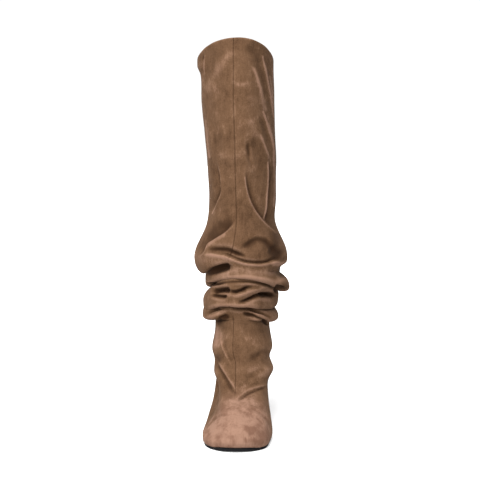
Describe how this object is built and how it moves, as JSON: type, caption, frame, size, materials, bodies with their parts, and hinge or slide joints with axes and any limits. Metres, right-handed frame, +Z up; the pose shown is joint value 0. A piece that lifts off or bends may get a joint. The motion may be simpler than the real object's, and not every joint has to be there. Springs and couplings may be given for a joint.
{
  "type": "knee-high slouch boot",
  "caption": "Knee-high pull-on slouch boot in taupe suede for the right foot, empty and upright on a covered block heel, with folds gathered above the ankle and a round toe.",
  "frame": {"origin": "middle of the boot's bounding box, on the floor", "axes": "+Z up, toe towards -Y, outer side of the foot towards -X"},
  "size_m": [0.1204, 0.2432, 0.5002],
  "materials": {
    "upper": "suede",
    "insole": "matt",
    "outsole": "matt",
    "heel_block": "suede",
    "top_piece": "matt"
  },
  "bodies": {
    "root": {"upper": "upper", "insole": "insole", "outsole": "outsole", "heel_block": "heel_block", "top_piece": "top_piece"}
  },
  "joints": []
}
